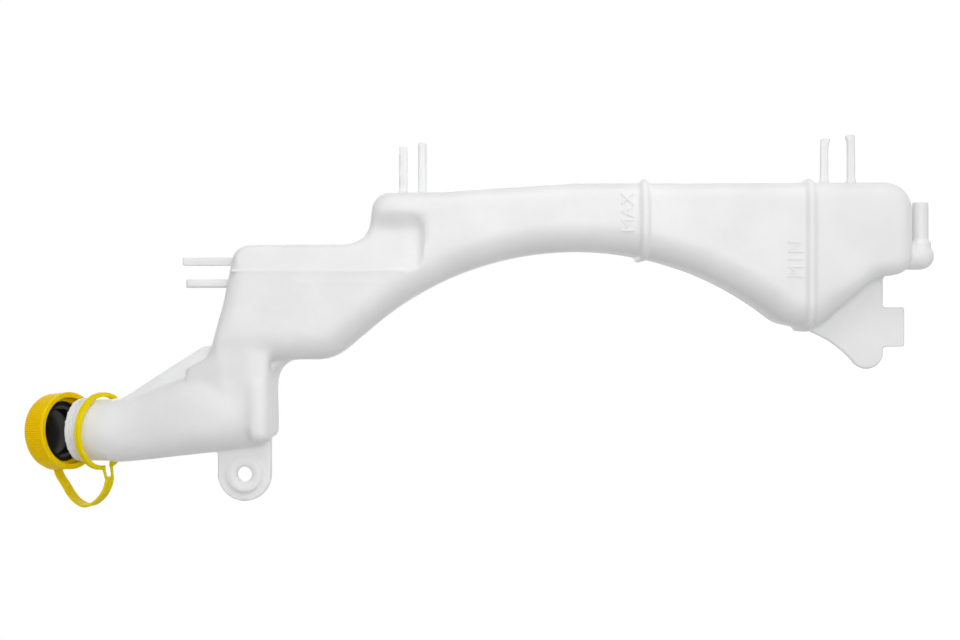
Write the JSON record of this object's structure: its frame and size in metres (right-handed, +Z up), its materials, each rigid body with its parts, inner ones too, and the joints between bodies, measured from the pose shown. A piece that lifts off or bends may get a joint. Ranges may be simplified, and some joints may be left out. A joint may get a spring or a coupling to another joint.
{
  "type": "coolant expansion tank",
  "caption": "Tall white blow-moulded coolant expansion tank that arches round a radiator fan, with a funnel neck, an open tethered cap, clips and a hose nipple.",
  "frame": {"origin": "centre of the bolt hole in the ear, on the parting plane of the two half shells", "axes": "+Z is up as the tank stands in the car, +X points away from the fan towards the side with the clips, and +Y points to the deeper rear half of the shell"},
  "size_m": [0.2503, 0.0838, 0.6099],
  "materials": {
    "tank": "natural white polyethylene, satin, slightly translucent",
    "cap_shell": "yellow polypropylene, satin, finely ribbed on its skirt",
    "cap_insert": "glossy black",
    "cap_seal": "black rubber",
    "cap_tether": "yellow flexible plastic, satin"
  },
  "bodies": {
    "tank": {"tank": "tank"},
    "tether": {"cap_tether": "cap_tether"},
    "cap": {"cap_shell": "cap_shell", "cap_insert": "cap_insert", "cap_seal": "cap_seal"}
  },
  "joints": [
    {"name": "tether_swivel", "type": "hinge", "parent": "tank", "child": "tether", "pos_m": [0.0283, 0.01417, 0.0981], "axis": [0, 0.284, 0.9588], "continuous": true},
    {"name": "cap_spin", "type": "hinge", "parent": "tether", "child": "cap", "pos_m": [0.0273, 0.024, 0.1217], "axis": [-0.0872, 0.5382, 0.8383], "continuous": true}
  ]
}
